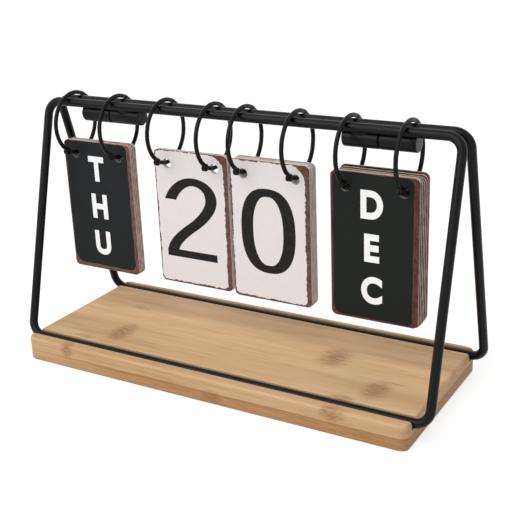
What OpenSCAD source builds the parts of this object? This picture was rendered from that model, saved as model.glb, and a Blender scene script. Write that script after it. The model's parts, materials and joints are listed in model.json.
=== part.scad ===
// Wooden perpetual desk calendar: two wire loops, hinged together at the top,
// stand in the grooves of a board, and four stacks of cards hang on hinged
// book rings from the top bars.
// Millimetres, +Z up, X along the bars, front towards -Y.
// The origin is on the table, midway between the legs and between the
// board's long edges.

/* [Base board] */
// Length of the board along the bars
board_l = 243; // [235:1:300]
// Depth of the board, front to rear
board_w = 100; // [90:1:130]
// Thickness of the board
board_t = 14.5; // [13:0.5:22]
// Radius of the board's upright corners
board_corner_r = 5; // [3:0.5:8]
// Rounding of the board's top and bottom edges
board_edge_r = 1.5; // [0.5:0.1:2.5]
// Distance of the board's middle to the left of the loops' middle
board_left = 1.5; // [0:0.1:2]
// Mean distance from the board's long edges to the middles of the grooves
groove_inset = 8; // [7:0.5:12]
// Distance of the grooves and the loops behind the board's middle
loops_back = 2; // [0:0.1:2]
// Free room at each side of the wire in its groove
groove_side_clear = 0.8; // [0.3:0.1:1]
// Depth of the wire's top below the board's top face
wire_sink = 0; // [-1:0.1:2]

/* [Wire loops] */
// Diameter of the loops' wire
wire_d = 5; // [4:0.1:6]
// Height of the stand, floor to the top of the top bars
stand_h = 150; // [145:1:180]
// Mean gap between the board's ends and the legs
leg_clear = 3.5; // [2:0.1:6]
// Bend radius of the loops' corners, at the middle of the wire
bend_r = 8; // [6:0.5:10]
// Gap between the two top bars
bar_gap = 4; // [2:0.1:6]

/* [Barrel hinges] */
// Diameter of the barrels under the top bars
barrel_d = 10; // [8:0.1:11]
// Length of a pair of barrels, end to end
barrel_pair_l = 40; // [30:1:60]
// Distance from the middle of a leg to the near end of its pair of barrels
barrel_inset = 24; // [14:0.5:30]
// Chamfer at the ends of a barrel
barrel_chamfer = 0.4; // [0.2:0.1:0.8]
// Gap between the two barrels of a pair
barrel_seam = 0.5; // [0.3:0.1:0.8]
// Diameter of the pin inside a pair of barrels
barrel_pin_d = 5; // [4:0.1:6]
// Length of the pin inside a pair of barrels
barrel_pin_l = 24; // [18:1:26]
// Radial running room of the pin in the front loop's barrel
barrel_pin_clear = 0.08; // [0.05:0.01:0.1]
// Free room at the pin's end in the front loop's barrel
barrel_end_play = 0.5; // [0.3:0.1:1]

/* [Cards] */
// Width of a card
card_w = 49; // [44:0.5:52]
// Height of a card
card_h = 80; // [60:1:85]
// Thickness of a card
card_t = 1.3; // [1:0.1:1.8]
// Radius of a card's corners
card_corner_r = 3; // [1:0.5:5]
// Gap between two neighbouring cards of a closed stack
card_gap = 0.25; // [0.2:0.05:0.5]
// Gap between two neighbouring cards of the loosely hung months
month_gap = 1.1; // [0.2:0.05:1.3]
// Diameter of the ring holes
hole_d = 5.5; // [5.2:0.1:6]
// Distance between a card's two holes
hole_pitch = 32; // [26:0.5:36]
// Distance from a card's top edge to the middle of its holes
hole_drop = 8; // [6:0.5:10]
// Free room between the ring wire and the top of a hole
hang_gap = 0.9; // [0.8:0.05:0.95]

/* [Rings] */
// Inside diameter of a ring
ring_id = 33; // [32:0.5:38]
// Diameter of the ring wire
ring_wire_d = 2.4; // [2:0.1:2.6]
// Free room between a ring and the bars that it hangs on
ring_bar_clear = 0.3; // [0.2:0.05:0.5]
// Angle of the ring hinge in front of the bottom of the ring
hinge_angle = 34; // [32:1:40]
// Distance of the hinge pin outside the middle of the ring wire
hinge_out = 0.7; // [0.6:0.05:1]
// Diameter of the eye at the ring hinge
eye_d = 4.2; // [3.8:0.1:4.3]
// Thickness of one eye along the pin
eye_t = 1; // [0.8:0.05:1.05]
// Width of the flattened wire beside an eye
tab_w = 2; // [1.6:0.1:2.1]
// Diameter of the hinge pin
pin_d = 1.6; // [1.2:0.1:1.8]
// Radial running room of the hinge pin in the front half's eye
pin_clear = 0.08; // [0.05:0.01:0.1]
// Gap between the two eyes of a hinge
eye_gap = 0.2; // [0.1:0.05:0.3]
// Diameter of the pin's heads
pin_head_d = 2.7; // [2.4:0.1:3]
// Thickness of a pin's head
pin_head_t = 0.45; // [0.3:0.05:0.6]
// Gap between the pin's loose head and the front half's eye
pin_head_gap = 0.1; // [0.05:0.05:0.2]
// Diameter of the clasp sleeve at the front half's end
sleeve_d = 2.6; // [2.5:0.05:2.7]
// Length of the clasp sleeve
sleeve_l = 3.4; // [2.8:0.1:4]
// Diameter of the clasp's tongue at the rear half's end
tongue_d = 1.1; // [0.9:0.1:1.2]
// Length of the tongue inside the sleeve
tongue_l = 1.8; // [1.2:0.1:2]
// Free room around the tongue and at the sleeve's mouth
clasp_clear = 0.3; // [0.2:0.05:0.35]

/* [Places along the bars] */
// Distance from the left leg's middle to the weekday cards
weekday_margin = 6; // [5.5:0.5:12]
// Distance from the right leg's middle to the month cards
month_margin = 20.5; // [12:0.5:24]
// Gap between the tens cards and the ones cards
digit_gap = 3; // [2.5:0.1:6]
// Part of the free room that lies to the left of the digits
digit_place = 0.545; // [0.4:0.005:0.7]

/* [Hidden] */
$fn = 96;

// Cards in each stack, printed on both faces
weekday_count = 4;
tens_count = 2;
ones_count = 5;
month_count = 6;

// Colours
bamboo = [0.78, 0.64, 0.47];
black = [0.10, 0.10, 0.11];
card_dark = [0.14, 0.15, 0.14];
card_light = [0.89, 0.87, 0.87];

// Seat gap where a welded or laid wire touches its carrier
seat_gap = 0.02;
// Overlap that makes cuts run past a face
over = 1;
// Length of the flattened wire inside the round wire
tab_sink = 0.5;

// Groove and wire loop
wire_r = wire_d / 2;
groove_w = wire_d + 2 * groove_side_clear;
groove_depth = wire_sink + wire_d + seat_gap;
foot_y = board_w / 2 - groove_inset;
foot_z = board_t - wire_sink - wire_r;
leg_x = board_l / 2 + leg_clear + wire_r;
bar_y = (bar_gap + wire_d) / 2;
bar_z = stand_h - wire_r;
loop_slant = sqrt(pow(foot_y - bar_y, 2) + pow(bar_z - foot_z, 2));
loop_lean = atan2(foot_y - bar_y, bar_z - foot_z);

// Barrels lie in the valley under the two bars
barrel_reach = wire_r + barrel_d / 2 + seat_gap;
barrel_z = bar_z - sqrt(pow(barrel_reach, 2) - pow(bar_y, 2));
barrel_x = leg_x - barrel_inset - barrel_pair_l / 2;

// Rings hang on both bars
ring_wire_r = ring_wire_d / 2;
ring_r = ring_id / 2 + ring_wire_r;
ring_reach = ring_id / 2 - wire_r - ring_bar_clear;
ring_z = bar_z - sqrt(pow(ring_reach, 2) - pow(bar_y, 2));
function arc(len) = len / ring_r * 180 / PI;

// Angles in the ring's plane: rear 0, top 90, front 180, bottom 270
hinge_at = 270 - hinge_angle;
clasp_at = hinge_at - 180;
eye_room = arc(eye_d / 2 + clasp_clear);
eye_out = eye_gap / 2 + eye_t;
tab_root = arc(tab_sink);
hinge_r = ring_r + hinge_out;

// Stacks
card_pitch = card_t + card_gap;
month_pitch = card_t + month_gap;
hole_sink = hole_d / 2 - ring_wire_r - hang_gap;
weekday_x = -leg_x + weekday_margin + card_w / 2;
month_x = leg_x - month_margin - card_w / 2;
free_room = month_x - weekday_x - 3 * card_w - digit_gap;
tens_x = weekday_x + card_w + free_room * digit_place;
ones_x = tens_x + card_w + digit_gap;

// Flat outlines
module round_rect(w, h, r) {
  square([w - 2 * r, h], center = true);
  square([w, h - 2 * r], center = true);
  for (sx = [-1, 1])
    for (sy = [-1, 1])
      translate([sx * (w / 2 - r), sy * (h / 2 - r)]) circle(r);
}

// The board: three rounded outlines meet, then the two grooves are cut
module base_board() {
  color(bamboo)
    translate([-board_left, 0, 0]) difference() {
      intersection() {
        linear_extrude(board_t) round_rect(board_l, board_w, board_corner_r);
        translate([-board_l / 2 - over, 0, board_t / 2])
          rotate([90, 0, 90])
            linear_extrude(board_l + 2 * over)
              round_rect(board_w, board_t, board_edge_r);
        translate([0, board_w / 2 + over, board_t / 2])
          rotate([90, 0, 0])
            linear_extrude(board_w + 2 * over)
              round_rect(board_l, board_t, board_edge_r);
      }
      for (s = [-1, 1])
        translate([-board_l / 2 - over, loops_back + s * foot_y - groove_w / 2, board_t - groove_depth])
          cube([board_l + 2 * over, groove_w, groove_depth + over]);
    }
}

// One closed wire loop in its own plane, X across and Z up the slant
module flat_loop() {
  run_x = leg_x - bend_r;
  run_z = loop_slant - 2 * bend_r;
  for (z = [0, loop_slant])
    translate([-run_x, 0, z]) rotate([0, 90, 0]) cylinder(h = 2 * run_x, r = wire_r);
  for (s = [-1, 1])
    translate([s * leg_x, 0, bend_r]) cylinder(h = run_z, r = wire_r);
  for (s = [0, 1, 2, 3])
    translate([(s == 0 || s == 3 ? 1 : -1) * run_x, 0, s < 2 ? loop_slant - bend_r : bend_r])
      rotate([90, 0, 0])
        rotate([0, 0, 90 * s])
          rotate_extrude(angle = 90) translate([bend_r, 0]) circle(wire_r);
}

module wire_loop(side) {
  color(black)
    translate([0, loops_back + side * foot_y, foot_z])
      rotate([side * loop_lean, 0, 0])
        flat_loop();
}

// One barrel along Z with a blind bore at its start, where it meets its mate
module barrel(bore_r, bore_l) {
  r = barrel_d / 2;
  c = barrel_chamfer;
  l = (barrel_pair_l - barrel_seam) / 2;
  rotate_extrude()
    polygon([[bore_r, 0], [r - c, 0], [r, c], [r, l - c], [r - c, l], [0, l], [0, bore_l], [bore_r, bore_l]]);
}

// Places what belongs to the right pair of barrels, and its mirror for the left
module at_barrels(x) {
  color(black)
    for (s = [0, 1])
      mirror([s, 0, 0])
        translate([x, loops_back, barrel_z])
          children();
}

// Inner barrels, welded to the front loop
module front_barrels() {
  at_barrels(barrel_x - barrel_seam / 2)
    rotate([0, -90, 0])
      barrel(barrel_pin_d / 2 + barrel_pin_clear, (barrel_pin_l - barrel_seam) / 2 + barrel_end_play);
}

// Outer barrels, welded to the rear loop
module rear_barrels() {
  at_barrels(barrel_x + barrel_seam / 2)
    rotate([0, 90, 0])
      barrel(barrel_pin_d / 2 + seat_gap, (barrel_pin_l - barrel_seam) / 2 + seat_gap);
}

// Pins, held in the outer barrels
module barrel_pins() {
  at_barrels(barrel_x - barrel_pin_l / 2)
    rotate([0, 90, 0])
      cylinder(h = barrel_pin_l, d = barrel_pin_d);
}

// Part of a ring: a round wire bent from one angle to another
module ring_arc(from, to, r) {
  rotate([90, 0, 90])
    rotate([0, 0, from])
      rotate_extrude(angle = to - from) translate([ring_r, 0]) circle(r);
}

// What stands at the hinge pin, with the pin along X
module at_hinge() {
  translate([0, hinge_r * cos(hinge_at), hinge_r * sin(hinge_at)])
    rotate([0, 90, 0])
      children();
}

// Flattened end of a half ring with its eye, on one side of the hinge
module eye_tab(from, to, side, bore_r) {
  low = side < 0 ? -eye_out : eye_gap / 2;
  difference() {
    union() {
      rotate([90, 0, 90])
        rotate([0, 0, from])
          rotate_extrude(angle = to - from)
            translate([ring_r - tab_w / 2, low]) square([tab_w, eye_t]);
      at_hinge() translate([0, 0, low]) cylinder(h = eye_t, d = eye_d);
    }
    at_hinge() translate([0, 0, low - over]) cylinder(h = eye_t + 2 * over, r = bore_r);
  }
}

// The half that carries the cards: hinge, bottom, rear, clasp tongue
module ring_back() {
  begin = hinge_at + eye_room;
  end = clasp_at + 360 - arc(clasp_clear) / 2;
  ring_arc(begin, end, ring_wire_r);
  ring_arc(end - over, end + arc(clasp_clear + tongue_l), tongue_d / 2);
  eye_tab(hinge_at, begin + tab_root, -1, pin_d / 2);
}

// The half that hangs over the bars: clasp sleeve, top, front, hinge
module ring_front() {
  mouth = clasp_at + arc(clasp_clear) / 2;
  end = hinge_at - eye_room;
  difference() {
    union() {
      ring_arc(mouth + arc(sleeve_l) - over, end, ring_wire_r);
      ring_arc(mouth, mouth + arc(sleeve_l), sleeve_d / 2);
    }
    ring_arc(mouth - over, mouth + arc(tongue_l + clasp_clear), tongue_d / 2 + clasp_clear);
  }
  eye_tab(end - tab_root, hinge_at, 1, pin_d / 2 + pin_clear);
}

// Rivet of the hinge: its shaft and two heads
module ring_pin() {
  at_hinge() {
    translate([0, 0, -eye_out - pin_head_t]) cylinder(h = pin_head_t, d = pin_head_d);
    translate([0, 0, -eye_out]) cylinder(h = 2 * eye_out + pin_head_gap, d = pin_d);
    translate([0, 0, eye_out + pin_head_gap]) cylinder(h = pin_head_t, d = pin_head_d);
  }
}

module at_ring(stack_x, s) {
  translate([stack_x + s * hole_pitch / 2, loops_back, ring_z]) children();
}

module ring_backs(stack_x) {
  color(black) for (s = [-1, 1]) at_ring(stack_x, s) ring_back();
}

module ring_pins(stack_x) {
  color(black) for (s = [-1, 1]) at_ring(stack_x, s) ring_pin();
}

module ring_front_at(stack_x, s) {
  color(black) at_ring(stack_x, s) ring_front();
}

// Card k of a stack of n, counted from the front
module card(stack_x, n, k, pitch, shade) {
  y = (k - (n + 1) / 2) * pitch;
  hole_z = ring_z - sqrt(pow(ring_r, 2) - pow(y, 2)) - hole_sink;
  top_z = hole_z + hole_drop;
  color(shade)
    translate([stack_x, loops_back + y + card_t / 2, top_z - card_h / 2])
      rotate([90, 0, 0])
        linear_extrude(card_t)
          difference() {
            round_rect(card_w, card_h, card_corner_r);
            for (s = [-1, 1])
              translate([s * hole_pitch / 2, card_h / 2 - hole_drop]) circle(d = hole_d);
          }
}

base_board();
wire_loop(-1);  // front_loop
wire_loop(1);  // rear_loop
front_barrels();
rear_barrels();
barrel_pins();
ring_backs(weekday_x);  // weekday_ring_backs
ring_backs(tens_x);  // tens_ring_backs
ring_backs(ones_x);  // ones_ring_backs
ring_backs(month_x);  // month_ring_backs
ring_pins(weekday_x);  // weekday_ring_pins
ring_pins(tens_x);  // tens_ring_pins
ring_pins(ones_x);  // ones_ring_pins
ring_pins(month_x);  // month_ring_pins
ring_front_at(weekday_x, -1);  // weekday_ring_front_left
ring_front_at(weekday_x, 1);  // weekday_ring_front_right
ring_front_at(tens_x, -1);  // tens_ring_front_left
ring_front_at(tens_x, 1);  // tens_ring_front_right
ring_front_at(ones_x, -1);  // ones_ring_front_left
ring_front_at(ones_x, 1);  // ones_ring_front_right
ring_front_at(month_x, -1);  // month_ring_front_left
ring_front_at(month_x, 1);  // month_ring_front_right
card(weekday_x, weekday_count, 1, card_pitch, card_dark);  // weekday_card_1
card(weekday_x, weekday_count, 2, card_pitch, card_dark);  // weekday_card_2
card(weekday_x, weekday_count, 3, card_pitch, card_dark);  // weekday_card_3
card(weekday_x, weekday_count, 4, card_pitch, card_dark);  // weekday_card_4
card(tens_x, tens_count, 1, card_pitch, card_light);  // tens_card_1
card(tens_x, tens_count, 2, card_pitch, card_light);  // tens_card_2
card(ones_x, ones_count, 1, card_pitch, card_light);  // ones_card_1
card(ones_x, ones_count, 2, card_pitch, card_light);  // ones_card_2
card(ones_x, ones_count, 3, card_pitch, card_light);  // ones_card_3
card(ones_x, ones_count, 4, card_pitch, card_light);  // ones_card_4
card(ones_x, ones_count, 5, card_pitch, card_light);  // ones_card_5
card(month_x, month_count, 1, month_pitch, card_dark);  // month_card_1
card(month_x, month_count, 2, month_pitch, card_dark);  // month_card_2
card(month_x, month_count, 3, month_pitch, card_dark);  // month_card_3
card(month_x, month_count, 4, month_pitch, card_dark);  // month_card_4
card(month_x, month_count, 5, month_pitch, card_dark);  // month_card_5
card(month_x, month_count, 6, month_pitch, card_dark);  // month_card_6
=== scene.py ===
"""Looks of a wooden perpetual desk calendar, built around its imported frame."""

import json
import logging
import math
from dataclasses import dataclass, field
from enum import Enum

import bmesh
import bpy
import numpy as np
from mathutils import Matrix, Vector


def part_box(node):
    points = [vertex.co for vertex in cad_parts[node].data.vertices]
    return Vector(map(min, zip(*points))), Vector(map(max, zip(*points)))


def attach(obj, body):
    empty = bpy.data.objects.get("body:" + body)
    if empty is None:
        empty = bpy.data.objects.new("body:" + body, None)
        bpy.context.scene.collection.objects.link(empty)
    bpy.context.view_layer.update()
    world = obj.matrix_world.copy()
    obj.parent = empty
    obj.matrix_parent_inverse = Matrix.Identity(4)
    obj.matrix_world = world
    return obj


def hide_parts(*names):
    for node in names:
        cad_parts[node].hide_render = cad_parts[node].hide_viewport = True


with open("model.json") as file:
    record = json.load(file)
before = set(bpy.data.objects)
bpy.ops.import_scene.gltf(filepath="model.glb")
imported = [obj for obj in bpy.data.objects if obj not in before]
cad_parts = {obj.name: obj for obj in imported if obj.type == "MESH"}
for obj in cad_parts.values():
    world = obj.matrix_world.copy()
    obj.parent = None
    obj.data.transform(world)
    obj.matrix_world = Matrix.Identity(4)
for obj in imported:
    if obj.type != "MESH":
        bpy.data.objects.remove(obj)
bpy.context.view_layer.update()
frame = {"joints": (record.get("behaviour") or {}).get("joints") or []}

LOG = logging.getLogger("calendar")
MM = 0.001
WIRE_RADIUS = 2.5

Rgb = tuple[float, float, float]
Point = tuple[float, float, float]
Span = tuple[float, float]
Noise = tuple[float, float, float]
Figure = tuple[np.ndarray, np.ndarray]
Material = bpy.types.Material
Socket = bpy.types.NodeSocket
Value = Socket | float
Paint = Socket | Rgb


def linear(red: int, green: int, blue: int) -> Rgb:
    """Turn an 8-bit screen colour into linear light.

    Args:
        red: Red on the screen, 0 to 255.
        green: Green on the screen, 0 to 255.
        blue: Blue on the screen, 0 to 255.

    Returns:
        The three linear values, 0 to 1.
    """
    screen = np.array([red, green, blue]) / 255.0
    light = np.where(screen <= 0.04045, screen / 12.92, ((screen + 0.055) / 1.055) ** 2.4)
    return tuple(float(v) for v in light)


def node_box(node: str) -> tuple[np.ndarray, np.ndarray]:
    """Give the lowest and highest corner of a node in millimetres."""
    low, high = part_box(node)
    return np.array(low) / MM, np.array(high) / MM


def joint_place(name: str) -> np.ndarray:
    """Give the place of a joint's axis in millimetres."""
    joint = next(j for j in frame["joints"] if j["name"] == name)
    return np.array(joint["pos_m"]) / MM


CARD_WIDTH, _, CARD_HEIGHT = np.ptp(node_box("tens_card_1"), axis=0).tolist()


def placed(name: str, data: bpy.types.ID) -> bpy.types.Object:
    """Put an object into the scene.

    Args:
        name: The object's name.
        data: Its mesh, curve, lamp or camera.

    Returns:
        The new object.
    """
    made = bpy.data.objects.new(name, data)
    bpy.context.scene.collection.objects.link(made)
    return made


def mesh_rows(items: bpy.types.bpy_prop_collection, key: str, width: int,
              kind: type = float) -> np.ndarray:
    """Read one value of every item of a mesh.

    Args:
        items: The mesh's points, corners or triangles.
        key: Blender's name of the value.
        width: How many numbers an item has.
        kind: The kind of number.

    Returns:
        One row for each item.
    """
    flat = np.empty(len(items) * width, kind)
    items.foreach_get(key, flat)
    return flat.reshape(-1, width)


@dataclass(frozen=True)
class Grain:
    """A stretched random pattern: bumps per millimetre on each axis, finer layers, their strength."""

    per_mm: Point
    detail: float
    roughness: float = 0.5


class Nodes:
    """A node tree under work."""

    def __init__(self, tree: bpy.types.NodeTree) -> None:
        """Take up a tree.

        Args:
            tree: The tree of a material or a world.
        """
        self.tree = tree

    def add(self, kind: str, **settings: object) -> bpy.types.Node:
        """Add a node.

        Args:
            kind: Blender's name of the node's type.
            settings: Values of the node's own properties.

        Returns:
            The new node.
        """
        made = self.tree.nodes.new(kind)
        for key, value in settings.items():
            setattr(made, key, value)
        return made

    def join(self, source: object, target: Socket) -> None:
        """Link a socket to another, or set the target to a plain value.

        Args:
            source: The socket to link from, or the plain value.
            target: The socket that takes it.
        """
        if isinstance(source, Socket):
            self.tree.links.new(source, target)
        else:
            target.default_value = source

    def fed(self, kind: str, values: tuple[object, ...], **settings: object) -> Socket:
        """Add a node and feed its inputs in order.

        Args:
            kind: Blender's name of the node's type.
            values: Sockets or plain values of the first inputs.
            settings: Values of the node's own properties.

        Returns:
            The node's first output.
        """
        made = self.add(kind, **settings)
        for socket, value in zip(made.inputs, values):
            self.join(value, socket)
        return made.outputs[0]

    def math(self, operation: str, first: Value, second: Value = 0.0, third: Value = 0.0) -> Socket:
        """Work out one sum by Blender's name of it."""
        return self.fed("ShaderNodeMath", (first, second, third), operation=operation)


class Bench(Nodes):
    """One node material under work, with short words for the usual nodes."""

    def __init__(self, name: str) -> None:
        """Start an empty material with one surface shader.

        Args:
            name: The material's name.
        """
        self.material = bpy.data.materials.new(name)
        self.material.use_nodes = True
        super().__init__(self.material.node_tree)
        self.tree.nodes.clear()
        self.shader = self.add("ShaderNodeBsdfPrincipled")
        output = self.add("ShaderNodeOutputMaterial")
        self.join(self.shader.outputs[0], output.inputs["Surface"])

    def scaled(self, vector: Socket, by: Point) -> Socket:
        """Stretch a vector by three factors."""
        return self.fed("ShaderNodeVectorMath", (vector, by), operation="MULTIPLY")

    def place_mm(self) -> Socket:
        """Give the point on the object in millimetres."""
        return self.scaled(self.add("ShaderNodeTexCoord").outputs["Object"], (1 / MM,) * 3)

    def split(self, vector: Socket) -> list[Socket]:
        """Give the three parts of a vector.

        Args:
            vector: The socket with the vector.

        Returns:
            The sockets with X, Y and Z.
        """
        made = self.add("ShaderNodeSeparateXYZ")
        self.join(vector, made.inputs[0])
        return list(made.outputs)

    def merge(self, x: Value, y: Value, z: Value) -> Socket:
        """Make a vector of three parts."""
        return self.fed("ShaderNodeCombineXYZ", (x, y, z))

    def noise(self, vector: Socket, scale: float, detail: float, roughness: float = 0.5) -> Socket:
        """Give a smooth random value at a point.

        Args:
            vector: The socket with the point.
            scale: How many bumps there are along one unit.
            detail: How many finer layers are added.
            roughness: How strong the finer layers are.

        Returns:
            The socket with the value, about 0.5 in the middle.
        """
        made = self.add("ShaderNodeTexNoise")
        self.join(vector, made.inputs["Vector"])
        for name, value in (("Scale", scale), ("Detail", detail), ("Roughness", roughness)):
            made.inputs[name].default_value = value
        return made.outputs["Fac"]

    def streaks(self, vector: Socket, grain: Grain) -> Socket:
        """Give a random value that is stretched along the axes."""
        return self.noise(self.scaled(vector, grain.per_mm), 1.0, grain.detail, grain.roughness)

    def ease(self, value: Socket, start: float, end: float, low: float = 0.0,
             high: float = 1.0) -> Socket:
        """Step smoothly from low to high while a value goes from start to end."""
        feed = (value, start, end, low, high)
        return self.fed("ShaderNodeMapRange", feed, interpolation_type="SMOOTHSTEP")

    def mix(self, share: Value, first: Paint, second: Paint, blend: str = "MIX") -> Socket:
        """Blend two colours.

        Args:
            share: Share of the second colour, socket or number.
            first: First colour, socket or linear values.
            second: Second colour, socket or linear values.
            blend: Blender's name of the blend.

        Returns:
            The socket with the colour.
        """
        made = self.add("ShaderNodeMix", data_type="RGBA", blend_type=blend)
        self.join(share, made.inputs["Factor"])
        for socket, value in ((made.inputs[6], first), (made.inputs[7], second)):
            self.join((*value, 1.0) if isinstance(value, tuple) else value, socket)
        return made.outputs[2]

    def bump(self, height: Socket, depth_mm: float, strength: float = 1.0) -> None:
        """Let a height stand out of the surface.

        Args:
            height: The socket with the height, 0 to 1.
            depth_mm: How far a height of 1 stands out, in millimetres.
            strength: Share of the effect.
        """
        made = self.add("ShaderNodeBump")
        made.inputs["Strength"].default_value = strength
        made.inputs["Distance"].default_value = depth_mm * MM
        self.join(height, made.inputs["Height"])
        self.join(made.outputs[0], self.shader.inputs["Normal"])

    def dress(self, colour: Paint, roughness: Value, specular: float = 0.5) -> Material:
        """Set the shader's main inputs.

        Args:
            colour: Colour, socket or linear values.
            roughness: Roughness, socket or number.
            specular: Strength of the gloss.

        Returns:
            The finished material.
        """
        colour = (*colour, 1.0) if isinstance(colour, tuple) else colour
        self.join(colour, self.shader.inputs["Base Color"])
        self.join(roughness, self.shader.inputs["Roughness"])
        self.shader.inputs["Specular IOR Level"].default_value = specular
        return self.material


@dataclass(frozen=True)
class GrowthMark:
    """A knot band of a bamboo strip: its middle and half sizes in millimetres, and its strength."""

    middle: Point
    reach: Point
    strength: float


@dataclass(frozen=True)
class Bamboo:
    """Satin bamboo with its fibres along X: broad strips above, and a darker ply below.

    Sizes and places are in millimetres. A value that ends in tone is the span of a random value
    over which a colour comes in.
    """

    pale: Rgb = linear(220, 184, 140)
    body: Rgb = linear(210, 171, 126)
    dark: Rgb = linear(192, 151, 106)
    mark: Rgb = linear(152, 102, 64)
    lower: Rgb = linear(188, 144, 98)
    lower_dark: Rgb = linear(168, 122, 79)
    glue: Rgb = linear(158, 115, 76)
    strip_width: float = 24.0
    strip_edge: float = -9.5
    ply_top: float = 7.1
    ply_wave: float = 1.4
    faint_ply: float = 0.35
    faint_end: float = -115.0
    full_end: float = -35.0
    sway: float = 5.0
    sway_up: float = 0.4
    sway_grain: Grain = Grain((0.012, 0.02, 0.02), 2.0)
    broad_grain: Grain = Grain((0.008, 0.10, 0.22), 3.0, 0.55)
    fibre_grain: Grain = Grain((0.03, 0.9, 1.1), 5.0, 0.66)
    fine_grain: Grain = Grain((0.06, 2.0, 2.4), 3.0, 0.6)
    dash_grain: Grain = Grain((0.07, 1.7, 1.9), 3.0, 0.55)
    mark_grain: Grain = Grain((0.22, 1.5, 1.7), 3.0, 0.6)
    fibre_share: float = 0.45
    body_tone: Span = (0.34, 0.52)
    pale_tone: Span = (0.49, 0.66)
    strip_contrast: float = 0.09
    fine_tone: Span = (0.45, 0.30)
    fine_strength: float = 0.42
    fine_relief: float = 0.5
    dash_tone: Span = (0.57, 0.72)
    dash_strength: float = 0.34
    wave_per_mm: float = 0.03
    ply_tone: Span = (0.36, 0.62)
    ply_edge: Span = (-0.15, 0.25)
    glue_drop: float = 0.3
    glue_reach: Span = (0.8, 0.1)
    glue_strength: float = 0.7
    mark_ragged: float = 1.6
    mark_edge: Span = (-0.15, 0.75)
    mark_tint: float = 0.5
    mark_tone: Span = (0.46, 0.62)
    roughness: float = 0.44
    roughness_range: float = 0.22
    relief_depth: float = 0.05
    relief: float = 0.4
    specular: float = 0.3
    marks: tuple[GrowthMark, ...] = (
        GrowthMark((-74.0, -19.8, 14.5), (8.5, 14.5, 30.0), 0.95),
        GrowthMark((55.5, 4.6, 14.5), (11.0, 13.5, 30.0), 1.0),
        GrowthMark((91.3, -20.8, 14.5), (9.0, 13.0, 30.0), 0.95),
        GrowthMark((-86.5, 14.7, 14.5), (9.0, 2.4, 30.0), 0.5),
        GrowthMark((-90.0, -33.8, 14.5), (9.0, 2.4, 30.0), 0.6),
        GrowthMark((79.2, -35.6, 14.5), (8.0, 3.0, 30.0), 0.6),
        GrowthMark((98.0, -10.6, 14.5), (9.0, 1.4, 30.0), 0.6),
        GrowthMark((-92.7, -50.0, 12.0), (5.0, 9.0, 7.0), 0.9),
        GrowthMark((7.8, -50.0, 4.6), (7.5, 9.0, 4.2), 0.9),
        GrowthMark((79.3, -50.0, 12.0), (8.0, 9.0, 5.5), 0.8),
    )

    def make(self) -> Material:
        """Mix fibres, strips, plies and knot bands into one wood.

        Returns:
            The finished material.
        """
        bench = Bench("satin_bamboo")
        place = bench.place_mm()
        x, y, z = bench.split(place)
        sway = bench.streaks(place, self.sway_grain)
        sway = bench.math("MULTIPLY_ADD", sway, self.sway, -self.sway / 2)
        y_grain = bench.math("ADD", y, sway)
        z_grain = bench.math("ADD", z, bench.math("MULTIPLY", sway, self.sway_up))
        grain = bench.merge(x, y_grain, z_grain)
        broad = bench.streaks(grain, self.broad_grain)
        fibre = bench.streaks(grain, self.fibre_grain)
        fine = bench.streaks(grain, self.fine_grain)
        dash = bench.streaks(grain, self.dash_grain)
        soft_tone = bench.math("MULTIPLY", broad, 1 - self.fibre_share)
        tone = bench.math("MULTIPLY_ADD", fibre, self.fibre_share, soft_tone)
        upper = bench.mix(bench.ease(tone, *self.body_tone), self.dark, self.body)
        upper = bench.mix(bench.ease(tone, *self.pale_tone), upper, self.pale)
        strip = bench.math("MULTIPLY_ADD", y, 1 / self.strip_width, -self.strip_edge / self.strip_width)
        chance = bench.add("ShaderNodeTexWhiteNoise", noise_dimensions="1D")
        bench.join(bench.math("FLOOR", strip), chance.inputs["W"])
        darkest = 1 - self.strip_contrast / 2
        shade = bench.math("MULTIPLY_ADD", chance.outputs["Value"], self.strip_contrast, darkest)
        upper = bench.mix(1.0, upper, bench.merge(shade, shade, shade), "MULTIPLY")
        colour = self.lay_plies(bench, upper, x, z, fibre)
        lines = bench.ease(fine, *self.fine_tone, 0.0, self.fine_strength)
        colour = bench.mix(lines, colour, self.dark)
        dashes = bench.ease(dash, *self.dash_tone, 0.0, self.dash_strength)
        colour = bench.mix(dashes, colour, self.mark)
        for mark in self.marks:
            colour = self.draw_mark(bench, colour, mark, (x, y, z), fibre)
        gloss = bench.math("MULTIPLY_ADD", fibre, self.roughness_range, self.roughness)
        height = bench.math("MULTIPLY_ADD", fine, self.fine_relief, fibre)
        bench.bump(height, self.relief_depth, self.relief)
        return bench.dress(colour, gloss, self.specular)

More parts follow.
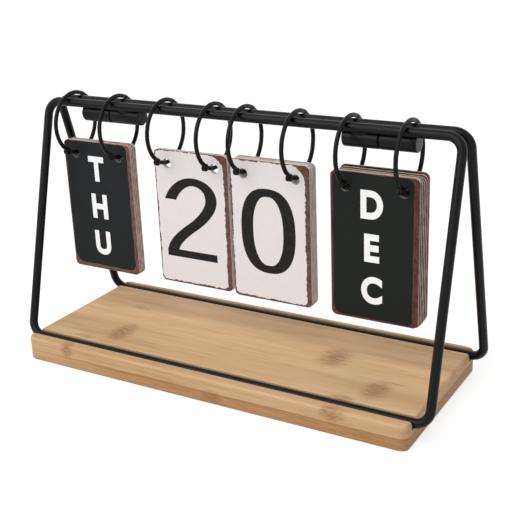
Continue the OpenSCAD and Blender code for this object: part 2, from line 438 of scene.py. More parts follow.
    def lay_plies(self, bench: Bench, upper: Socket, x: Socket, z: Socket, fibre: Socket) -> Socket:
        """Put the darker lower ply under the upper one, with a thin line of glue between them.

        The border's height is the ply's top plus a slow wave along X. To the left the lower ply is
        nearly as pale as the upper one.

        Args:
            bench: The material under work.
            upper: Colour of the upper ply.
            x: Place along the board in millimetres.
            z: Height in millimetres.
            fibre: The coarse fibre value.

        Returns:
            The socket with the colour of both plies.
        """
        along = bench.math("MULTIPLY", x, self.wave_per_mm)
        wave = bench.noise(bench.merge(along, 0.0, 0.0), 1.0, 2.0)
        border = bench.math("MULTIPLY_ADD", wave, self.ply_wave, self.ply_top - self.ply_wave / 2)
        under = bench.math("SUBTRACT", border, z)
        strength = bench.ease(x, self.faint_end, self.full_end, self.faint_ply, 1.0)
        streaked = bench.mix(bench.ease(fibre, *self.ply_tone), self.lower_dark, self.lower)
        share = bench.math("MULTIPLY", bench.ease(under, *self.ply_edge), strength)
        colour = bench.mix(share, upper, streaked)
        off_line = bench.math("ABSOLUTE", bench.math("SUBTRACT", under, self.glue_drop))
        line = bench.ease(off_line, *self.glue_reach, 0.0, self.glue_strength)
        return bench.mix(bench.math("MULTIPLY", line, strength), colour, self.glue)

    def draw_mark(self, bench: Bench, colour: Socket, mark: GrowthMark, place: tuple[Socket, ...],
                  fibre: Socket) -> Socket:
        """Lay one knot band over a colour: a soft tint with short dashes in it.

        The band is one minus the ellipsoid distance from its middle, ragged by the fibres.

        Args:
            bench: The material under work.
            colour: The colour so far.
            mark: The knot band.
            place: The three parts of the point in millimetres.
            fibre: The coarse fibre value.

        Returns:
            The socket with the new colour.
        """
        total = 0.0
        for part, middle, reach in zip(place, mark.middle, mark.reach):
            offset = bench.math("MULTIPLY_ADD", part, 1 / reach, -middle / reach)
            total = bench.math("MULTIPLY_ADD", offset, offset, total)
        depth = bench.math("SUBTRACT", 1.0, bench.math("SQRT", total))
        ragged = bench.math("MULTIPLY_ADD", fibre, self.mark_ragged, -self.mark_ragged / 2)
        dash = bench.streaks(bench.merge(*place), self.mark_grain)
        inside = bench.ease(bench.math("ADD", depth, ragged), *self.mark_edge)
        tint = bench.math("MULTIPLY", inside, self.mark_tint * mark.strength)
        colour = bench.mix(tint, colour, self.mark)
        dashes = bench.ease(dash, *self.mark_tone, 0.0, mark.strength)
        return bench.mix(bench.math("MULTIPLY", inside, dashes), colour, self.mark)


@dataclass(frozen=True)
class BlackCoat:
    """Satin black coating on steel, with a fine orange skin whose depth is in millimetres."""

    name: str
    tint: Rgb
    roughness: float
    grain_per_mm: float
    depth: float
    specular: float = 0.15
    roughness_range: float = 0.16
    mottle: Noise = (0.12, 3.0, 0.5)
    mottle_tone: Span = (0.3, 0.75)
    brighter: float = 1.5
    relief: float = 0.6

    def make(self) -> Material:
        """Give the coat a faint mottle, a varied gloss and its skin.

        Returns:
            The finished material.
        """
        bench = Bench(self.name)
        place = bench.place_mm()
        mottle = bench.noise(place, *self.mottle)
        skin = bench.noise(place, self.grain_per_mm, 2.0, 0.6)
        brighter = tuple(min(1.0, v * self.brighter) for v in self.tint)
        colour = bench.mix(bench.ease(mottle, *self.mottle_tone), self.tint, brighter)
        smoothest = self.roughness - self.roughness_range / 2
        gloss = bench.math("MULTIPLY_ADD", mottle, self.roughness_range, smoothest)
        bench.bump(skin, self.depth, self.relief)
        return bench.dress(colour, gloss, self.specular)


@dataclass(frozen=True)
class WornBorder:
    """How far the paint is worn off in from each side and corner of a card, in millimetres.

    The corner values are the radii of the painted part's corners, and the last two values are the
    heights of the short and the long waves of its outline.
    """

    left: float
    right: float
    bottom: float
    top: float
    top_left: float
    top_right: float
    bottom_left: float
    bottom_right: float
    ragged: float
    wavy: float


@dataclass(frozen=True)
class CardPaper:
    """Printed face of a card with its paint worn brown along the border."""

    name: str
    face: Rgb
    worn: Rgb
    deep: Rgb
    border: WornBorder
    specular: float = 0.12
    width: float = CARD_WIDTH
    height: float = CARD_HEIGHT
    seed_step: float = 37.0
    waves: Noise = (0.07, 1.0, 0.5)
    rags: Noise = (0.42, 4.0, 0.62)
    specks: Noise = (1.8, 2.0, 0.6)
    flecks: Noise = (0.5, 5.0, 0.7)
    widen: float = 4.0
    fleck_tone: Span = (0.35, 0.7)
    fleck_shade: float = 0.97
    paint_edge: Span = (-0.12, 0.12)
    deep_run: Span = (0.0, 0.8)
    deep_tone: Span = (0.38, 0.62)
    wear_relief: float = -0.1
    speck_relief: float = 0.25
    relief_depth: float = 0.05
    relief: float = 0.3
    roughness: float = 0.50
    roughness_range: float = 0.2

    def make(self) -> Material:
        """Paint the face and wear it from the border inwards.

        The wear is the distance to the painted part's outline, changed by short and long waves.
        The noise rarely gets far from its middle, so its swing is widened.

        Returns:
            The finished material.
        """
        bench = Bench(self.name)
        x, y, _ = bench.split(bench.add("ShaderNodeUVMap", uv_map="card").outputs[0])
        seed = bench.add("ShaderNodeAttribute", attribute_name="card_seed").outputs["Fac"]
        across = bench.math("MULTIPLY", x, self.width)
        up = bench.math("MULTIPLY", y, self.height)
        place = bench.merge(across, up, bench.math("MULTIPLY", seed, self.seed_step))
        wavy = bench.noise(place, *self.waves)
        ragged = bench.noise(place, *self.rags)
        speck = bench.noise(place, *self.specks)
        wear = self.outline(bench, across, up)
        for noise, height in ((wavy, self.widen * self.border.wavy),
                              (ragged, self.widen * self.border.ragged), (speck, self.border.ragged)):
            swing = bench.math("MULTIPLY_ADD", noise, height, -height / 2)
            wear = bench.math("ADD", wear, swing)
        fleck = bench.ease(bench.noise(place, *self.flecks), *self.fleck_tone)
        face = bench.mix(fleck, self.face, tuple(v * self.fleck_shade for v in self.face))
        colour = bench.mix(bench.ease(wear, *self.paint_edge), face, self.worn)
        far_in = bench.ease(wear, *self.deep_run)
        brown = bench.math("MULTIPLY", far_in, bench.ease(ragged, *self.deep_tone))
        colour = bench.mix(brown, colour, self.deep)
        pitted = bench.math("MULTIPLY", speck, self.speck_relief)
        pitted = bench.math("MULTIPLY_ADD", wear, self.wear_relief, pitted)
        bench.bump(pitted, self.relief_depth, self.relief)
        gloss = bench.math("MULTIPLY_ADD", ragged, self.roughness_range, self.roughness)
        return bench.dress(colour, gloss, self.specular)

    def outline(self, bench: Bench, across: Socket, up: Socket) -> Socket:
        """Give the distance from the painted part's outline, positive outside.

        The part is a rounded rectangle. With the offset from its middle less its half sizes plus
        the corner's radius, the distance is the length of the positive offsets, plus the larger
        offset where both are negative, less the radius.

        Args:
            bench: The material under work.
            across: Distance from the card's left side in millimetres.
            up: Distance from the card's foot in millimetres.

        Returns:
            The socket with the distance in millimetres.
        """
        border = self.border
        middle_x = (border.left + self.width - border.right) / 2
        middle_y = (border.bottom + self.height - border.top) / 2
        half_x = (self.width - border.left - border.right) / 2
        half_y = (self.height - border.bottom - border.top) / 2
        shift_x = bench.math("SUBTRACT", across, middle_x)
        shift_y = bench.math("SUBTRACT", up, middle_y)
        is_right = bench.math("GREATER_THAN", shift_x, 0.0)
        is_top = bench.math("GREATER_THAN", shift_y, 0.0)
        upper = bench.math("MULTIPLY_ADD", is_right, border.top_right - border.top_left, border.top_left)
        lower = bench.math("MULTIPLY_ADD", is_right, border.bottom_right - border.bottom_left,
                           border.bottom_left)
        radius = bench.math("MULTIPLY_ADD", is_top, bench.math("SUBTRACT", upper, lower), lower)
        offsets = []
        for shift, half in ((shift_x, half_x), (shift_y, half_y)):
            inside = bench.math("SUBTRACT", bench.math("ABSOLUTE", shift), half)
            offsets.append(bench.math("ADD", inside, radius))
        outer = [bench.math("MAXIMUM", offset, 0.0) for offset in offsets]
        square = bench.math("MULTIPLY", outer[1], outer[1])
        square = bench.math("MULTIPLY_ADD", outer[0], outer[0], square)
        inner = bench.math("MINIMUM", bench.math("MAXIMUM", *offsets), 0.0)
        distance = bench.math("ADD", bench.math("SQRT", square), inner)
        return bench.math("SUBTRACT", distance, radius)


@dataclass(frozen=True)
class CardEdge:
    """Cut edge of a card: pressed layers in grey brown."""

    name: str
    pale: Rgb
    dark: Rgb
    layers: Grain = Grain((0.15, 4.5, 0.15), 2.0, 0.6)
    stains: Noise = (0.22, 4.0, 0.6)
    layer_share: float = 0.6
    pale_tone: Span = (0.38, 0.62)
    relief_depth: float = 0.06
    relief: float = 0.5
    roughness: float = 0.75
    specular: float = 0.2

    def make(self) -> Material:
        """Draw thin layers across the thickness and stains along the edge.

        Returns:
            The finished material.
        """
        bench = Bench(self.name)
        place = bench.place_mm()
        layers = bench.streaks(place, self.layers)
        stain = bench.math("MULTIPLY", bench.noise(place, *self.stains), 1 - self.layer_share)
        share = bench.math("MULTIPLY_ADD", layers, self.layer_share, stain)
        colour = bench.mix(bench.ease(share, *self.pale_tone), self.dark, self.pale)
        bench.bump(layers, self.relief_depth, self.relief)
        return bench.dress(colour, self.roughness, self.specular)


@dataclass(frozen=True)
class PrintInk:
    """Flat ink of the letters or the digits."""

    name: str
    tint: Rgb
    thin: Rgb
    clouds: Noise = (0.35, 5.0, 0.7)
    thin_tone: Span = (0.45, 0.75)
    thin_share: float = 0.6
    roughness: float = 0.48
    roughness_range: float = 0.2
    specular: float = 0.12

    def make(self) -> Material:
        """Let the ink thin out a little in specks.

        Returns:
            The finished material.
        """
        bench = Bench(self.name)
        cloud = bench.noise(bench.place_mm(), *self.clouds)
        share = bench.ease(cloud, *self.thin_tone, 0.0, self.thin_share)
        gloss = bench.math("MULTIPLY_ADD", cloud, self.roughness_range, self.roughness)
        return bench.dress(bench.mix(share, self.tint, self.thin), gloss, self.specular)


def quads(rows: int, columns: int, round_columns: bool = True, round_rows: bool = False) -> np.ndarray:
    """Join each square of four neighbours in a grid of points into a face.

    Args:
        rows: Rows of the grid.
        columns: Points in a row.
        round_columns: The last column joins the first one again.
        round_rows: The last row joins the first one again.

    Returns:
        Four point numbers for each face.
    """
    index = np.arange(rows * columns).reshape(rows, columns)
    if round_columns:
        index = np.hstack([index, index[:, :1]])
    if round_rows:
        index = np.vstack([index, index[:1]])
    faces = np.stack([index[:-1, :-1], index[:-1, 1:], index[1:, 1:], index[1:, :-1]], -1)
    return faces.reshape(-1, 4)


def turned_over(faces: np.ndarray) -> np.ndarray:
    """Let faces look the other way, with the same first corner."""
    return np.roll(faces[:, ::-1], 1, axis=1)


@dataclass
class Shell:
    """Points and faces of a piece under work, in millimetres."""

    points: list[np.ndarray] = field(default_factory=list)
    faces: list[np.ndarray] = field(default_factory=list)
    finishes: list[int] = field(default_factory=list)
    count: int = 0

    def add(self, points: np.ndarray, blocks: list[tuple[np.ndarray, int]]) -> None:
        """Add points with their faces.

        Args:
            points: Points in rows of three.
            blocks: Arrays of faces that count from the first new point, each with the number of
                its material.
        """
        for faces, finish in blocks:
            self.faces.extend(faces + self.count)
            self.finishes.extend([finish] * len(faces))
        self.points.append(points.reshape(-1, 3))
        self.count += len(self.points[-1])

    def add_grid(self, grid: np.ndarray, round_rows: bool = False) -> None:
        """Add a grid of points whose columns run round and close.

        Args:
            grid: Points by row, column and coordinate.
            round_rows: The last row joins the first one again. If not, a face closes each end.
        """
        rows, columns = grid.shape[:2]
        blocks = [(quads(rows, columns, round_rows=round_rows), 0)]
        if not round_rows:
            cap = np.arange(columns)[None]
            blocks += [(cap[:, ::-1], 0), (cap + (rows - 1) * columns, 0)]
        self.add(grid, blocks)

    def add_slab(self, flat: np.ndarray, faces: np.ndarray, front: float, rear: float,
                 rim: int = 0, bored: np.ndarray | None = None) -> None:
        """Give a flat figure a thickness along Y.

        Both faces are the figure itself, and a wall follows each edge that has only one face.

        Args:
            flat: Points of the figure, X and Z.
            faces: Faces of the figure, turning left as seen from the front.
            front: Y of the front face.
            rear: Y of the rear face.
            rim: Number of the material of the wall.
            bored: True for the points round a hole, whose wall has the next material.
        """
        size = len(flat)
        both = [np.stack([flat[:, 0], np.full(size, y), flat[:, 1]], 1) for y in (front, rear)]
        edges = np.stack([faces, np.roll(faces, -1, 1)], -1).reshape(-1, 2)
        key = np.sort(edges, 1) @ np.array([size, 1])
        _, first, times = np.unique(key, return_index=True, return_counts=True)
        start, end = edges[first[times == 1]].T
        walls = np.stack([start, start + size, end + size, end], 1)
        bored = np.zeros(size, bool) if bored is None else bored
        inner = bored[start] & bored[end]
        self.add(np.vstack(both), [(faces, 0), (faces[:, ::-1] + size, 0), (walls[~inner], rim),
                                   (walls[inner], rim + 1)])

    def piece(self, name: str, body: str, slot: str, materials: list[Material],
              nodes: tuple[str, ...] = (), sharp: float = 40.0) -> bpy.types.Object:
        """Make the shell an object that rides on a body.

        Args:
            name: Name of the piece.
            body: The body that carries it.
            slot: The record's material slot; not used.
            materials: Materials in the order of the finishes' numbers.
            nodes: The nodes that the piece stands for.
            sharp: Angle in degrees from which an edge stays sharp.

        Returns:
            The finished object.
        """
        mesh = bpy.data.meshes.new(name)
        mesh.from_pydata(np.vstack(self.points) * MM, [], [face.tolist() for face in self.faces])
        mesh.polygons.foreach_set("material_index", np.array(self.finishes, np.int32))
        work = bmesh.new()
        work.from_mesh(mesh)
        bmesh.ops.recalc_face_normals(work, faces=work.faces)
        work.to_mesh(mesh)
        work.free()
        mesh.polygons.foreach_set("use_smooth", np.ones(len(mesh.polygons), bool))
        mesh.set_sharp_from_angle(angle=math.radians(sharp))
        for material in materials:
            mesh.materials.append(material)
        made = placed(name, mesh)
        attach(made, body)
        if nodes:
            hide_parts(*nodes)
        LOG.info("%s: %d faces on %s", name, len(mesh.polygons), body)
        return made


def turned(along: np.ndarray, radius: np.ndarray, middle: np.ndarray, sides: int = 48) -> np.ndarray:
    """Turn a profile round a line along X.

    The point is the middle plus the radius times the cosine and sine of the turn, in Y and Z.

    Args:
        along: X of each profile point.
        radius: Radius of each profile point.
        middle: Y and Z of the line.
        sides: Points in one turn.

    Returns:
        Points by profile point, turn and coordinate.
    """
    turn = np.linspace(0, 2 * np.pi, sides, endpoint=False)
    grid = np.empty((len(along), sides, 3))
    grid[..., 0] = np.asarray(along)[:, None]
    grid[..., 1] = middle[0] + np.outer(radius, np.cos(turn))
    grid[..., 2] = middle[1] + np.outer(radius, np.sin(turn))
    return grid


@dataclass
class BaseBoard:
    """The grooved board, with its sizes in millimetres.

    The shares of the edge and the lip are shares of the wall outside a groove, which gets thin
    towards the board's rounded corners.
    """

    corner: float = 5.0
    edge: float = 1.5
    edge_share: float = 0.65
    groove_width: float = 6.6
    seat_gap: float = 0.02
    lip: float = 0.9
    lip_share: float = 0.25
    thin_wall: float = 0.06
    end_run: float = 0.3
    flat_shares: tuple[float, ...] = (0.006, 0.35, 0.65, 0.994)
    steps: int = 12

    def stations(self, half: float) -> np.ndarray:
        """Give the places along X, close together on the rounded ends.

        Args:
            half: Half the board's length.

        Returns:
            Places from end to end, round the board's middle.
        """
        turn = np.linspace(0, np.pi / 2, self.steps)
        ends = np.concatenate([
            half - self.corner + self.corner * np.sin(turn),
            half - self.edge + self.edge * np.sin(turn),
        ])
        inner = np.linspace(0, half - self.corner - self.end_run, self.steps)
        places = np.unique(np.round(np.concatenate([inner, ends]), 4))
        return np.concatenate([-places[:0:-1], places])

    def build(self, wood: Material) -> None:
        """Carry the cross-section along X and let it shrink at the ends.

        At each place the half width is less by the corner's arc and the height by the edge's arc.

        Args:
            wood: The board's material.
        """
        low, high = node_box("base_board")
        middle = (low + high) / 2
        half_x, half_y = (high - low)[:2] / 2
        x = self.stations(half_x)
        past = np.clip(np.abs(x) - (half_x - self.corner), 0, self.corner)
        width = half_y - self.corner + np.sqrt(np.maximum(self.corner**2 - past**2, 0))
        past = np.clip(np.abs(x) - (half_x - self.edge), 0, self.edge)
        drop = self.edge - np.sqrt(np.maximum(self.edge**2 - past**2, 0))
        front_foot = middle[1] - node_box("front_loop")[0][1] - WIRE_RADIUS
        rear_foot = node_box("rear_loop")[1][1] - WIRE_RADIUS - middle[1]
        halves = [self.section(width, low[2] + drop, high[2] - drop, foot)
                  for foot in (rear_foot, front_foot)]
        section = np.concatenate([halves[0], halves[1][:, ::-1] * np.array([-1.0, 1.0])], 1)
        grid = np.empty((*section.shape[:2], 3))
        grid[..., 0] = middle[0] + x[:, None]
        grid[..., 1] = middle[1] + section[..., 0]
        grid[..., 2] = section[..., 1]
        shell = Shell()
        shell.add_grid(grid)
        shell.piece("bamboo_board", "stand", "bamboo", [wood], ("base_board",), 50.0)

    def section(self, width: np.ndarray, bottom: np.ndarray, top: np.ndarray,
                groove: float) -> np.ndarray:
        """Draw one half of the cross-section at every place.

        It runs from the middle of the underside up the side and through the groove to the middle
        of the top. Arcs are quarter turns, and flat runs have points close to their ends, so that
        the shading stays flat.

        Args:
            width: Half width at each place.
            bottom: Z of the underside at each place.
            top: Z of the top at each place.
            groove: Distance of the groove's middle from the board's middle.

        Returns:
            Distance from the middle and Z by place and profile point.
        """
        outer = groove + self.groove_width / 2
        inner = groove - self.groove_width / 2
        room = np.maximum(width - outer, self.thin_wall)
        width = outer + room
        edge = np.minimum(self.edge, self.edge_share * room)
        lip = np.minimum(self.lip, self.lip_share * room)
        floor = np.full_like(width, node_box("front_loop")[0][2] - self.seat_gap)
        runs: list[tuple[np.ndarray, np.ndarray]] = []

        def straight(y0: np.ndarray, z0: np.ndarray, y1: np.ndarray, z1: np.ndarray) -> None:
            """Add points of a flat run."""
            for share in self.flat_shares:
                runs.append((y0 + (y1 - y0) * share, z0 + (z1 - z0) * share))

        def quarter(y0: np.ndarray, z0: np.ndarray, radius: np.ndarray | float, start: float,
                    steps: int = 6) -> None:
            """Add points of a quarter turn."""
            for angle in np.radians(np.linspace(start, start + 90.0, steps)):
                runs.append((y0 + radius * np.cos(angle), z0 + radius * np.sin(angle)))

        zero = np.zeros_like(width)
        straight(zero, bottom, width - edge, bottom)
        quarter(width - edge, bottom + edge, edge, -90.0)
        straight(width, bottom + edge, width, top - edge)
        quarter(width - edge, top - edge, edge, 0.0)
        straight(width - edge, top, outer + lip, top)
        quarter(outer + lip, top - lip, lip, 90.0, 4)
        straight(zero + outer, top - lip, zero + outer, floor)
        straight(zero + outer, floor, zero + inner, floor)
        straight(zero + inner, floor, zero + inner, top - self.lip)
        quarter(zero + inner - self.lip, top - self.lip, self.lip, 0.0, 4)
        straight(zero + inner - self.lip, top, zero, top)
        return np.stack([np.stack(point, -1) for point in runs], 1)


@dataclass
class WireStand:
    """The two bent wire loops, and the barrel hinges under their top bars, in millimetres."""

    bend: float = 8.0
    barrel_length: float = 19.75
    end_round: float = 0.5
    end_run: float = 0.3
    cap_share: float = 0.5
    pin_length: float = 24.0
    loose_bore: float = 2.58
    loose_depth: float = 12.25
    tight_bore: float = 2.52
    tight_depth: float = 11.77
    bead_half: float = 4.5
    bead_radius: float = 1.35
    bead_out: float = 1.1
    sides: int = 32

    def loop(self, node: str, body: str, side: int, coat: Material) -> None:
        """Carry a circle along a rounded rectangle that leans from its groove.

        Args:
            node: The loop's node.
            body: The body that it rides on.
            side: -1 for the front loop and 1 for the rear loop.
            coat: The wire's material.
        """
        low, high = node_box(node)
        foot_y = high[1] - WIRE_RADIUS if side > 0 else low[1] + WIRE_RADIUS
        bar_y = low[1] + WIRE_RADIUS if side > 0 else high[1] - WIRE_RADIUS
        foot = np.array([0.0, foot_y, low[2] + WIRE_RADIUS])
        rise = np.array([0.0, bar_y, high[2] - WIRE_RADIUS]) - foot
        slant = np.linalg.norm(rise)
        rise = rise / slant
        across = np.array([1.0, 0.0, 0.0])
        out = np.cross(across, rise)
        half = high[0] - WIRE_RADIUS
        turn = np.radians(np.linspace(0, 90, 14))
        path, normal = [], []
        corners = ((1, 1, 0), (-1, 1, 90), (-1, -1, 180), (1, -1, 270))
        for sign_x, sign_z, start in corners:
            angle = turn + math.radians(start)
            heading = np.stack([np.cos(angle), np.sin(angle)], 1)
            middle_z = slant - self.bend if sign_z > 0 else self.bend
            middle = np.array([sign_x * (half - self.bend), middle_z])
            path.append(middle + self.bend * heading)
            normal.append(heading)
        path, normal = np.vstack(path), np.vstack(normal)
        point = foot + np.outer(path[:, 0], across) + np.outer(path[:, 1], rise)
        side_way = np.outer(normal[:, 0], across) + np.outer(normal[:, 1], rise)
        round_turn = np.linspace(0, 2 * np.pi, self.sides, endpoint=False)
        circle = side_way[:, None] * np.cos(round_turn)[:, None] + out * np.sin(round_turn)[:, None]
        shell = Shell()
        shell.add_grid(point[:, None] + WIRE_RADIUS * circle, round_rows=True)
        shell.piece(node + "_wire", body, "black_wire", [coat], (node,))

    def rounded_end(self, radius: float) -> tuple[np.ndarray, np.ndarray]:
        """Draw the rim of a round end: a quarter turn and a short straight run.

        Along the quarter turn the distance goes with one less the cosine, and the radius falls short
        by one less the sine.

        Args:
            radius: Radius of the round piece.

        Returns:
            Distance from the end and radius of each point.
        """
        steps = np.radians(np.linspace(0, 90, 6))
        along = np.append(self.end_round * (1 - np.cos(steps)), self.end_round + self.end_run)
        rim = np.append(radius - self.end_round * (1 - np.sin(steps)), radius)
        return along, rim

    def barrels(self, node: str, body: str, side: int, coat: Material) -> None:
        """Turn the two barrels of a loop, each with a blind bore at the end where it meets its mate.

        Args:
            node: The barrels' node.
            body: The body that they ride on.
            side: -1 for the front loop's inner barrels and 1 for the rear loop's outer barrels.
            coat: The material.
        """
        low, high = node_box(node)
        radius = (high[2] - low[2]) / 2
        length = self.barrel_length
        loose, tight = (self.loose_bore, self.loose_depth), (self.tight_bore, self.tight_depth)
        bore, depth = loose if side < 0 else tight
        along, rim = self.rounded_end(radius)
        along = np.concatenate([[depth, depth, 0.0], along, length - along[::-1], [length]])
        blind, cap = [bore * self.cap_share, bore, bore], [radius * self.cap_share]
        rim = np.concatenate([blind, rim, rim[::-1], cap])
        shell = Shell()
        for first, hand in ((low[0], -1), (high[0] - length, 1)):
            if hand == side:
                shell.add_grid(turned(first + along, rim, (high + low)[1:] / 2))
            else:
                shell.add_grid(turned(first + length - along[::-1], rim[::-1], (high + low)[1:] / 2))
        shell.piece(node + "_pair", body, "black_wire", [coat], (node,))

    def pins(self, node: str, body: str, coat: Material) -> None:
        """Turn the two pins inside the barrels.

        Args:
            node: The pins' node.
            body: The body that they ride on.
            coat: The material.
        """
        low, high = node_box(node)
        radius = (high[2] - low[2]) / 2
        along, rim = self.rounded_end(radius)
        along = np.concatenate([[0.0], along, self.pin_length - along[::-1], [self.pin_length]])
        cap = [radius * self.cap_share]
        rim = np.concatenate([cap, rim, rim[::-1], cap])
        shell = Shell()
        for first in (low[0], high[0] - self.pin_length):
            shell.add_grid(turned(first + along, rim, (high + low)[1:] / 2))
        shell.piece(node + "_pair", body, "black_wire", [coat], (node,))

    def welds(self, node: str, body: str, side: int, coat: Material) -> None:
        """Lay a weld bead between each barrel of a pair and the bar that carries it.

        A bead is a spindle along X, in the furrow beside the line where bar and barrel touch. Its
        radius is the square root of one minus the share of its half length squared.

        Args:
            node: The barrels' node.
            body: The body that they ride on.
            side: -1 for the front loop's barrels and 1 for the rear loop's.
            coat: The material.
        """
        low, high = node_box(node)
        bar_low, bar_high = node_box("front_loop" if side < 0 else "rear_loop")
        bar_y = bar_high[1] - WIRE_RADIUS if side < 0 else bar_low[1] + WIRE_RADIUS
        middle = (high + low)[1:] / 2
        to_bar = np.array([bar_y, bar_high[2] - WIRE_RADIUS]) - middle
        to_bar = to_bar / np.linalg.norm(to_bar)
        furrow = np.array([side * to_bar[1], -abs(to_bar[0])])
        place = middle + (high[2] - low[2]) / 2 * to_bar + self.bead_out * furrow
        share = np.sin(np.radians(np.linspace(-88, 88, 15)))
        shell = Shell()
        for first in (low[0], high[0] - self.barrel_length):
            along = first + self.barrel_length / 2 + self.bead_half * share
            shell.add_grid(turned(along, self.bead_radius * np.sqrt(1 - share**2), place, 20))
        shell.piece(node + "_welds", body, "black_wire", [coat], (node,))

    def build(self, coat: Material) -> None:
        """Make both loops, their barrels with the welds, and the pins.

        Args:
            coat: The material of the loops and the hinges.
        """
        for side, way in ((-1, "front"), (1, "rear")):
            body = way + "_frame"
            self.loop(way + "_loop", body, side, coat)
            self.barrels(way + "_barrels", body, side, coat)
            self.welds(way + "_barrels", body, side, coat)
        self.pins("barrel_pins", "rear_frame", coat)


class Tone(Enum):
    """The two kinds of card."""

    DARK = "dark_card"
    LIGHT = "light_card"


@dataclass(frozen=True)
class StackPlan:
    """A stack's word, kind of card and marks, and the number of the card that swings on the rings."""

    label: str
    tone: Tone
    fronts: tuple[str, ...]
    rears: tuple[str, ...]
    carrier: int

    @property
    def ring_middle(self) -> np.ndarray:
        """The middle between the stack's two rings, in millimetres."""
        return joint_place(f"{self.label}_card_{self.carrier}_swing")


class Stack(Enum):
    """The four stacks from left to right."""

    WEEKDAY = StackPlan("weekday", Tone.DARK, ("THU", "FRI", "SAT", "SUN"), ("MON", "TUE", "WED", ""), 2)
    TENS = StackPlan("tens", Tone.LIGHT, ("2", "3"), ("0", "1"), 2)
    ONES = StackPlan("ones", Tone.LIGHT, ("0", "1", "2", "3", "4"), ("5", "6", "7", "8", "9"), 3)
    MONTH = StackPlan("month", Tone.DARK, ("DEC", "JAN", "FEB", "MAR", "APR", "MAY"),
                      ("JUN", "JUL", "AUG", "SEP", "OCT", "NOV"), 3)


@dataclass(frozen=True)
class RingPlace:
    """Where a ring hangs: its middle, its radius to the wire's middle, and its hinge.

    The pin is the hinge's Y and Z, and the hinge its angle in degrees, 0 to the rear and 90 up.
    """

    middle: np.ndarray
    radius: float
    pin: np.ndarray
    hinge: float

    @property
    def per_mm(self) -> float:
        """Degrees of turn along a millimetre of wire."""
        return 180 / math.pi / self.radius


